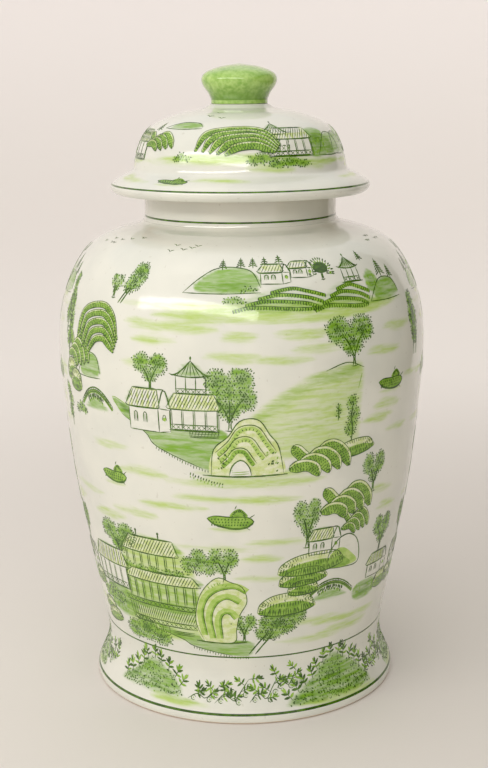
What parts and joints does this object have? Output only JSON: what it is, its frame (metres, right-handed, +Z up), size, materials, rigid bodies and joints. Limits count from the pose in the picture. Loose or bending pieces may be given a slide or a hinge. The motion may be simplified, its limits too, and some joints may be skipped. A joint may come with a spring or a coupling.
{
  "type": "ginger jar",
  "caption": "Lidded ginger jar of glazed porcelain with a domed lift-off lid, a turned knob, a round belly and a flared foot.",
  "frame": {"origin": "on the jar's axis, in the plane that the foot ring stands on", "axes": "+Z up along the axis of revolution, through the knob; -Y is the side with the bridge, boat and pavilion scenes facing the viewer"},
  "size_m": [0.248, 0.248, 0.42],
  "materials": {
    "body_glaze": "warm white gloss glaze over painted green decoration, unglazed foot ring",
    "lid_glaze": "warm white gloss glaze over painted green decoration, unglazed seat",
    "knob_glaze": "leaf green gloss glaze"
  },
  "bodies": {
    "jar": {"jar_body": "body_glaze"},
    "lid": {"lid_shell": "lid_glaze", "lid_knob": "knob_glaze"}
  },
  "joints": [
    {"name": "lid_lift", "type": "slide", "parent": "jar", "child": "lid", "axis": [0, 0, 1], "range_m": [0, 0.12]}
  ]
}
